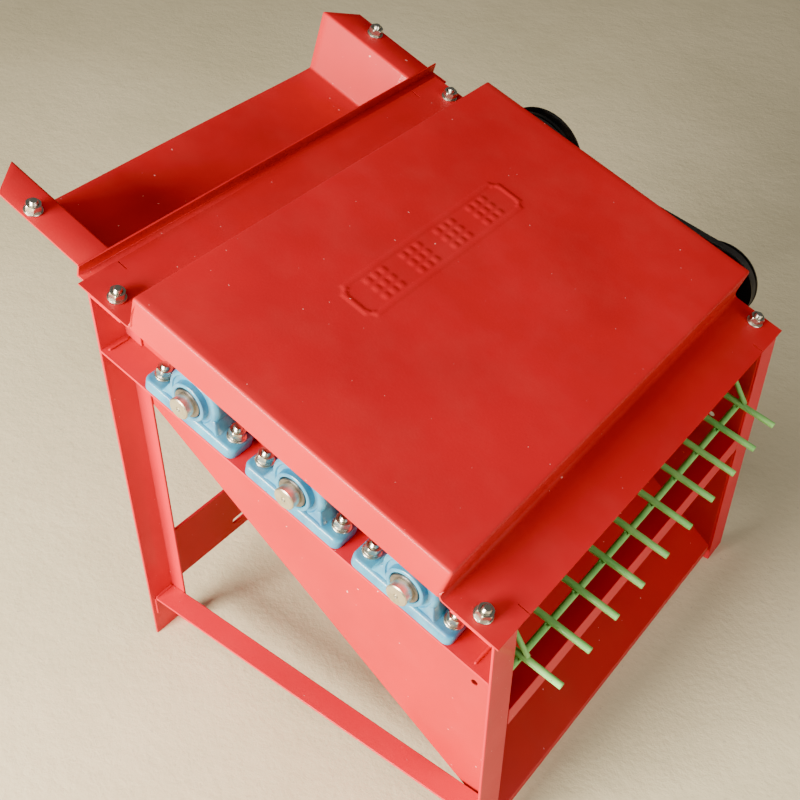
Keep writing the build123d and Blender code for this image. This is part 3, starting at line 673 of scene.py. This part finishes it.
def boltParts(matrix, low, high):
    # shank radius = r - d * |triangle(z / pitch - angle / turn)|, so the thread climbs one pitch a turn
    f = fastenerSizes
    full, cham = hexagon(f["flat"], 99), hexagon(f["flat"], f["flat"] * 1.03)
    head = low - f["head"]

    def thread(z, limit=9.0):
        def radius(a):
            phase = np.mod(z / f["pitch"] - a / (2 * np.pi), 1.0)
            return np.minimum(f["shank"] - f["threadDeep"] * np.abs(2 * phase - 1), limit)
        return radius
    rows = [(0.02, head), (cham, head), (full, head + 0.9), (full, low), (4.9, low)]
    zs = np.arange(high - 6.0, high - 1.1, 0.25)
    rows += [(thread(z), z) for z in zs]
    rows += [(thread(high - 0.9, 4.4), high - 0.9), (3.8, high - 0.1), (3.4, high), (0.02, high - 0.15)]
    return [ringsAt(rows, matrix, 36, closed=False)]


def washerParts(matrix, z):
    f = fastenerSizes
    r, t = f["washer"], f["washerThick"]
    return [ringsAt([(5.3, z), (r - 0.3, z), (r, z + 0.3), (r, z + t - 0.5), (r - 0.5, z + t), (5.3, z + t)],
                    matrix, 48)]


def springParts(matrix, z):
    # a square section carried round 355 degrees, rising a little from one cut end to the other
    f = fastenerSizes
    turn = np.radians(np.linspace(5, 355, 44))
    rise = 0.25 * (turn - np.pi) / np.pi
    section = np.array([(5.3, 0.25), (5.5, 0), (8.7, 0), (f["spring"], 0.3), (f["spring"], 1.8), (8.7, 2.1),
                        (5.5, 2.1), (5.3, 1.85)])
    grid = np.zeros((len(turn), len(section), 3))
    grid[..., 0] = np.cos(turn)[:, None] * section[:, 0]
    grid[..., 1] = np.sin(turn)[:, None] * section[:, 0]
    grid[..., 2] = z + 0.15 + rise[:, None] + section[:, 1]
    around = np.arange(len(section))
    ends = np.stack([around[::-1], around + (len(turn) - 1) * len(section)])
    return [(placed(grid, matrix), gridFaces(len(turn), len(section), closeColumns=True), ends)]


bearingPlaces = {
    (n + 1, side): shifted(railFrame, shaftU[n], way * machine["bearingY"], 0)
    for n in range(3) for side, way in (("near", -1), ("far", 1))
}
for (n, side), place in bearingPlaces.items():
    outward = -1 if side == "near" else 1
    buildPiece(f"housing{n}{side.capitalize()}", pillowBlock(place, outward), bluePaint, "frame",
               (f"housing_{n}_{side}",), smooth=40)


def nippleParts(place):
    # a straight grease nipple: short hexagon, waist and rounded head, standing on the round body
    r = blockSizes["radius"]
    full, cham = hexagon(3.5, 99), hexagon(3.5, 3.7)
    profile = [(2.4, r - 2), (2.4, r), (cham, r), (full, r + 0.5), (full, r + 2.6), (cham, r + 3.1),
               (1.7, r + 3.2), (1.6, r + 5.2), (2.3, r + 6.2), (2.4, r + 7.2), (1.9, r + 8.4),
               (0.9, r + 9.2), (0.02, r + 9.3)]
    return ringsAt(profile, turned(place, blockSizes["nippleTurn"], "Y"), 24, closed=False)


buildPiece("greaseNipples", [nippleParts(place) for place in bearingPlaces.values()], zincPlate, "frame",
           ("grease_nipples",))

bearingSeat = blockSizes["seat"] + blockSizes["footHeight"]
shelfUnder = blockSizes["seat"] - blockSizes["shelf"]
boltRun = {name: [] for name in ("bolts", "nuts", "springs", "washers")}
for (n, side), place in bearingPlaces.items():
    for way in (-1, 1):
        at = turned(shifted(place, way * blockSizes["boltHalf"]), 17 * n + 23 * way, "Z")
        nutLow = bearingSeat + fastenerSizes["washerThick"] + fastenerSizes["springThick"]
        boltRun["bolts"] += boltParts(at, shelfUnder, nutLow + fastenerSizes["nut"] + fastenerSizes["proud"])
        boltRun["nuts"] += nutParts(at, nutLow)
        boltRun["springs"] += springParts(at, bearingSeat + fastenerSizes["washerThick"])
        boltRun["washers"] += washerParts(at, bearingSeat)
for key, node in (("bolts", "bearing_bolts"), ("nuts", "bearing_nuts"), ("springs", "bearing_spring_washers"),
                  ("washers", "bearing_flat_washers")):
    buildPiece("bearing" + key.capitalize(), boltRun[key], zincPlate, "frame", (node,),
               smooth=32)

coverSizes = {"lidU": (-272.0, 219.0), "lidY": 288.0, "trayU": -84.0, "trayY": 284.0,
              "lidUnder": -5.0, "trayUnder": -2.0}
coverPlaces = [(shifted(lidFrame, u, way * coverSizes["lidY"]), coverSizes["lidUnder"])
               for u in coverSizes["lidU"] for way in (-1, 1)]
coverPlaces += [(shifted(trayFrame, coverSizes["trayU"], way * coverSizes["trayY"]), coverSizes["trayUnder"])
                for way in (-1, 1)]
coverRun = {"bolts": [], "nuts": [], "washers": []}
for i, (place, under) in enumerate(coverPlaces):
    at = turned(place, 19 * i + 7, "Z")
    nutTop = fastenerSizes["washerThick"] + fastenerSizes["nut"]
    coverRun["bolts"] += boltParts(at, under, nutTop + fastenerSizes["proud"])
    coverRun["nuts"] += nutParts(at, fastenerSizes["washerThick"])
    coverRun["washers"] += washerParts(at, 0.0)
for key, run in coverRun.items():
    buildPiece("cover" + key.capitalize(), run, zincPlate, "frame", (f"cover_{key}",),
               smooth=32)
print("bearings and fasteners ready")

shaftSizes = {"radius": 12.5, "near": -321.0, "far": 349.0, "ringHalf": 14.3, "ringOut": 22.5}
studSizes = {"drum": 25.0, "tip": 35.0, "radius": 5.0, "rows": 6, "perRow": 13, "run": 450.0}
ballSizes = {"radius": 3.8, "circle": 19.5, "count": 9}


def shaftParts(place):
    s = shaftSizes
    r = s["radius"]
    profile = [(0.02, s["near"] + 9), (2.5, s["near"] + 0.4), (2.8, s["near"]), (r - 1, s["near"]),
               (r, s["near"] + 1), (r, -100), (r, 100), (r, s["far"] - 1), (r - 1, s["far"]),
               (2.8, s["far"]), (2.5, s["far"] - 0.4), (0.02, s["far"] - 9)]
    return [lathe(profile, place, 72)]


def ringParts(place):
    # the long side of each inner ring faces outwards and its edges are broken
    s = shaftSizes
    parts = []
    for way in (-1, 1):
        out, back = s["ringOut"], s["ringHalf"]
        profile = [(12.6, out), (16.2, out), (16.8, out - 0.6), (17, out - 1.2), (17, -back + 0.6),
                   (16.5, -back), (12.6, -back)]
        at = shifted(place, 0, way * machine["bearingY"])
        points, _ = lathe([(a, b * way) for a, b in profile], at, 60)
        parts.append((points, gridFaces(len(profile), 60, closeRows=True, closeColumns=True)))
    return parts


def studParts(place, phase):
    # spiral rows of short studs welded round the drum, each with a weld toe
    s = studSizes
    pitch = s["run"] / s["perRow"]
    r, drum, tip = s["radius"], s["drum"], s["tip"]
    profile = [(r + 1.6, drum - 0.7), (r + 0.5, drum + 0.8), (r, drum + 2), (r, tip - 1.6),
               (r - 0.7, tip - 0.4), (r - 2.2, tip), (0.02, tip)]
    parts = []
    for row in range(s["rows"]):
        for n in range(s["perRow"]):
            y = -s["run"] / 2 + pitch * (n + (row % 3 + 0.5) / 3)
            at = turned(shifted(place, 0, y), 360 * row / s["rows"] + 14 * n + phase, "Y")
            parts.append(ringsAt(profile, at, 10, closed=False))
    return parts


def ballParts():
    # a half circle of eight points carried round each ball's own centre on the bearing's pitch circle
    parts = []
    arc = np.linspace(0.05, np.pi - 0.05, 8)
    profile = ballSizes["radius"] * np.stack([np.sin(arc), np.cos(arc)], -1)
    for place in bearingPlaces.values():
        for n in range(ballSizes["count"]):
            a = 2 * np.pi * n / ballSizes["count"]
            at = shifted(place, ballSizes["circle"] * math.cos(a), 0, -ballSizes["circle"] * math.sin(a))
            parts.append(ringsAt(profile, at, 12, closed=False))
    return parts


buildPiece("bearingBalls", ballParts(), raceSteel, "frame", ("bearing_balls",), smooth=60)
for n in (1, 2, 3):
    place = shifted(railFrame, shaftU[n - 1])
    body = f"roller_{n}"
    buildPiece(f"shaft{n}", shaftParts(place), turnedSteel, body, (f"roller_shaft_{n}",))
    buildPiece(f"innerRings{n}", ringParts(place), raceSteel, body, (f"inner_rings_{n}",))
    buildPiece(f"studs{n}", studParts(place, 20 * (n - 1)), drumSteel, body,
               (f"roller_teeth_{n}",))

beltSizes = {"top": 5.0, "bottom": 3.2, "sunk": 0.5, "thick": 8.0, "planes": (319.0, 337.0)}
pulleyRadius = (65.0, 40.0, 53.0)


def beltParts(first, second, y):
    # the belt's rounded section carried round both pulleys and the straights between them
    b = beltSizes
    top, bottom, thick = b["top"], b["bottom"], b["thick"]
    section = [(-top + 0.6, 0), (top - 0.6, 0), (top, 0.7), (top - 0.1, 1.6), (bottom, thick - 0.4),
               (bottom - 0.5, thick), (-bottom + 0.5, thick), (-bottom, thick - 0.4), (-top + 0.1, 1.6),
               (-top, 0.7)]
    turn = math.acos((pulleyRadius[first] - pulleyRadius[second]) / machine["shaftPitch"])
    big, small = np.linspace(turn, 2 * np.pi - turn, 60), np.linspace(-turn, turn, 44)
    columns = []
    for across, deep in section:
        inset = b["sunk"] + deep
        arcs = []
        for i, a in ((first, big), (second, small)):
            r = pulleyRadius[i] - inset
            arcs.append(np.stack([shaftU[i] + r * np.cos(a), np.full(len(a), y + across), r * np.sin(a)], -1))
        columns.append(np.concatenate(arcs))
    grid = np.array(columns)
    return [(placed(grid, railFrame), gridFaces(*grid.shape[:2], closeRows=True, closeColumns=True))]


for first, y in enumerate(beltSizes["planes"]):
    second = first + 1
    buildPiece(f"belt{first + 1}{second + 1}", beltParts(first, second, y), beltRubber, "frame",
               (f"belt_{first + 1}_{second + 1}",), smooth=40)
print("rotating parts ready")

grateSizes = {
    "refX": 235.5, "height": 305.0, "slope": 12.0, "radius": 4.0, "count": 10, "spacing": 54.0,
    "tipX": 285.0, "feedX": -258.0, "crossX": (235.5, 75.0, -85.0, -245.0), "crossHalf": 264.0,
}
grateFrame = slopeFrame(grateSizes["refX"], grateSizes["height"], grateSizes["slope"])
grateCos = math.cos(math.radians(grateSizes["slope"]))


def barParts(matrix, start, end, radius, along, wander, sides=16):
    # a cropped bar along X or Y with broken ends, its axis wandering by a fraction of a millimetre
    t = np.concatenate([[0, 0, 0.6, 1.6], np.linspace(10, end - start - 10, 34),
                        [end - start - 1.6, end - start - 0.6, end - start, end - start]])
    size = np.full(len(t), radius)
    size[[0, -1]] = 0.02
    size[[1, -2]] = radius - 0.6
    a = np.arange(sides) * 2 * np.pi / sides
    drift = 0.25 * np.sin((t + wander * 97) / 83)
    grid = np.zeros((len(t), sides, 3))
    grid[..., along] = (start + t)[:, None]
    grid[..., 1 - along] = size[:, None] * np.cos(a) + drift[:, None] * (size[:, None] > 1)
    grid[..., 2] = size[:, None] * np.sin(a)
    return [(placed(grid, matrix), gridFaces(len(t), sides, closeColumns=True))]


def beadParts(start, end, radius, seed):
    # weld bead: a tube whose radius rises in overlapping ripples, r (1 - 0.16 |cos(pi t / 2.6)|)
    start, end = np.array(start, float), np.array(end, float)
    length = np.linalg.norm(end - start)
    d = (end - start) / length
    side = np.cross(d, (0.31, 0.52, 0.79))
    side /= np.linalg.norm(side)
    up = np.cross(d, side)
    t = np.linspace(0, length, max(12, int(length / 0.9)))
    taper = np.sqrt(np.clip(np.minimum(t, length - t) / radius, 0.0, 1))
    r = radius * (1 - 0.16 * np.abs(np.cos(np.pi * t / 2.6 + seed))) * (1 + 0.12 * np.sin(t / 7 + seed))
    r = np.maximum(r * taper, 0.02)
    a = np.arange(12) * 2 * np.pi / 12
    grid = (start + d * t[:, None])[:, None] + r[:, None, None] * (
        np.cos(a)[None, :, None] * side + np.sin(a)[None, :, None] * up)
    return [(grid.reshape(-1, 3), gridFaces(len(t), 12, closeColumns=True))]


rodY = (np.arange(grateSizes["count"]) - (grateSizes["count"] - 1) / 2) * grateSizes["spacing"]
rodStart, rodEnd = ((x - grateSizes["refX"]) / grateCos for x in (grateSizes["feedX"], grateSizes["tipX"]))
rodParts = []
for i, y in enumerate(rodY):
    rodParts += barParts(shifted(grateFrame, 0, y), rodStart, rodEnd, grateSizes["radius"], 0, i)
crossParts = []
for x in grateSizes["crossX"]:
    at = shifted(grateFrame, (x - grateSizes["refX"]) / grateCos, 0, -2 * grateSizes["radius"])
    crossParts += barParts(at, -grateSizes["crossHalf"], grateSizes["crossHalf"], grateSizes["radius"], 1, x)
    for i, y in enumerate(rodY):
        centre = placed([(0, y, grateSizes["radius"])], at)[0]
        for way in (-1, 1):
            bead = centre + (way * 2.5, 0, -0.6)
            crossParts += beadParts(bead - (0, 5.5, 0), bead + (0, 5.5, 0), 1.7, i + way)
buildPiece("grateRods", rodParts, greenPaint, "frame", ("grate_rods",), smooth=50)
buildPiece("grateCrossRods", crossParts, greenPaint, "frame", ("grate_cross_rods",), smooth=50)

weldSizes = {
    "legX": (-271.4, 238.4), "shelfY": (269.5, 298.5), "shelfZ": 65.6, "wallY": 299.6, "wallZ": (36.0, 64.5),
    "railU": (-267.0, 238.0), "railY": (272.0, 300.0), "railW": -35.9,
    "crossX": 217.0, "crossY": 265.2, "crossZ": (216.0, 238.0),
}


def weldRuns():
    # lower rails to legs, bearing rails to legs, and the discharge crossmember, on both sides
    w = weldSizes
    runs = []
    for way in (-1, 1):
        inside, outside = way * w["shelfY"][0], way * w["shelfY"][1]
        wall = way * w["wallY"]
        for x in w["legX"]:
            runs += beadParts((x, outside, w["shelfZ"]), (x, inside, w["shelfZ"]), 1.9, x)
            runs += beadParts((x, wall, w["wallZ"][0]), (x, wall, w["wallZ"][1]), 1.7, x + 2)
        for u in w["railU"]:
            ends = [(u, way * y, w["railW"]) for y in w["railY"][::-1]]
            runs += beadParts(*placed(ends, railFrame), 1.8, u)
        low, high = ((w["crossX"], way * w["crossY"], z) for z in w["crossZ"])
        runs += beadParts(low, high, 1.6, 3.0)
    return runs


buildPiece("weldBeads", weldRuns(), framePaint, "frame", smooth=50)
print("grate and welds ready")

bySlot = {
    "frame_paint": framePaint, "sheet_paint": sheetPaint, "lid_paint": lidPaint,
    "housing_paint": bluePaint, "zinc_fasteners": zincPlate, "nipple_steel": zincPlate,
    "race_steel": raceSteel, "ball_steel": raceSteel, "seal_rubber": sealRubber,
    "shaft_steel": turnedSteel, "drum_steel": drumSteel, "pulley_iron": blackPaint,
    "key_steel": turnedSteel, "belt_rubber": beltRubber, "grate_paint": greenPaint,
}
for node in frame["nodes"].values():
    for i, old in enumerate(node.data.materials):
        node.data.materials[i] = bySlot[old.name.split(".")[0]]


def floorMaterial():
    # Trowelled cement floor: pale, faintly mottled and dusty.
    material, tree, shader, place = startMaterial("trowelled cement", {"Roughness": 0.85})
    broad = noise(tree, place, 600, 5.0, 0.6)
    base = mixColour(tree, ramp(tree, broad, 0.35, 0.7), "#d0c8a9", "#c0b999")
    fine = noise(tree, place, 9, 4.0, 0.7)
    base = mixColour(tree, ramp(tree, fine, 0.62, 0.8), base, "#9f978a")
    tree.links.new(base, shader.inputs["Base Color"])
    bumpChain(tree, shader, [(noise(tree, place, 40, 5.0, 0.65), 1.3), (fine, 0.6)])
    return material


def floorPiece():
    # a flat grid at height nought, its faces upwards
    line = np.linspace(-4.0, 4.0, 41)
    x, y = np.meshgrid(line, line, indexing="ij")
    co = np.stack([x, y, np.zeros_like(x)], -1).reshape(-1, 3)
    mesh = bpy.data.meshes.new("floor")
    mesh.from_pydata(co.tolist(), [], gridFaces(*x.shape)[:, ::-1].tolist())
    piece = bpy.data.objects.new("floor", mesh)
    bpy.context.scene.collection.objects.link(piece)
    mesh.materials.append(floorMaterial())


floorPiece()

cameraSizes = {
    "fromMiddleShaft": (0.5788, -0.8857, 0.8184), "right": (0.7877, 0.6161, 0.0066),
    "up": (-0.4059, 0.5108, 0.7578), "lens": 52.9,
}
middleShaft = Vector(next(j["pos_m"] for j in frame["joints"] if j["name"] == "roller_2_spin"))
right, up = Vector(cameraSizes["right"]).normalized(), Vector(cameraSizes["up"])
up = (up - right * up.dot(right)).normalized()
back = right.cross(up)
cameraData = bpy.data.cameras.new("camera")
cameraData.lens = cameraSizes["lens"]
cameraData.sensor_width = 36
camera = bpy.data.objects.new("camera", cameraData)
bpy.context.scene.collection.objects.link(camera)
spot = middleShaft + Vector(cameraSizes["fromMiddleShaft"])
camera.matrix_world = Matrix.Translation(spot) @ Matrix((right, up, back)).transposed().to_4x4()
bpy.context.scene.camera = camera
bpy.context.scene.view_settings.look = "AgX - Punchy"

lightLooks = (
    {"name": "windowSide", "from": (-0.5, -2.9, 1.15), "size": 1.5, "power": 860, "colour": "#fff3e2"},
    {"name": "ceiling", "from": (0.1, -1.3, 2.5), "size": 1.8, "power": 52, "colour": "#fff8ef"},
    {"name": "doorSide", "from": (2.4, -0.3, 1.0), "size": 1.4, "power": 66, "colour": "#fff2e6"},
)
aim = Vector((0.05, 0.0, 0.35))
for look in lightLooks:
    data = bpy.data.lights.new(look["name"], "AREA")
    data.energy = look["power"]
    data.size = look["size"]
    data.color = hexColour(look["colour"])[:3]
    lamp = bpy.data.objects.new(look["name"], data)
    bpy.context.scene.collection.objects.link(lamp)
    spot = Vector(look["from"])
    lamp.matrix_world = Matrix.Translation(spot) @ (aim - spot).to_track_quat("-Z", "Y").to_matrix().to_4x4()
world = bpy.data.worlds.new("room")
bpy.context.scene.world = world
world.use_nodes = True
room = world.node_tree.nodes["Background"]
room.inputs["Color"].default_value = hexColour("#e9e6df")
room.inputs["Strength"].default_value = 0.26
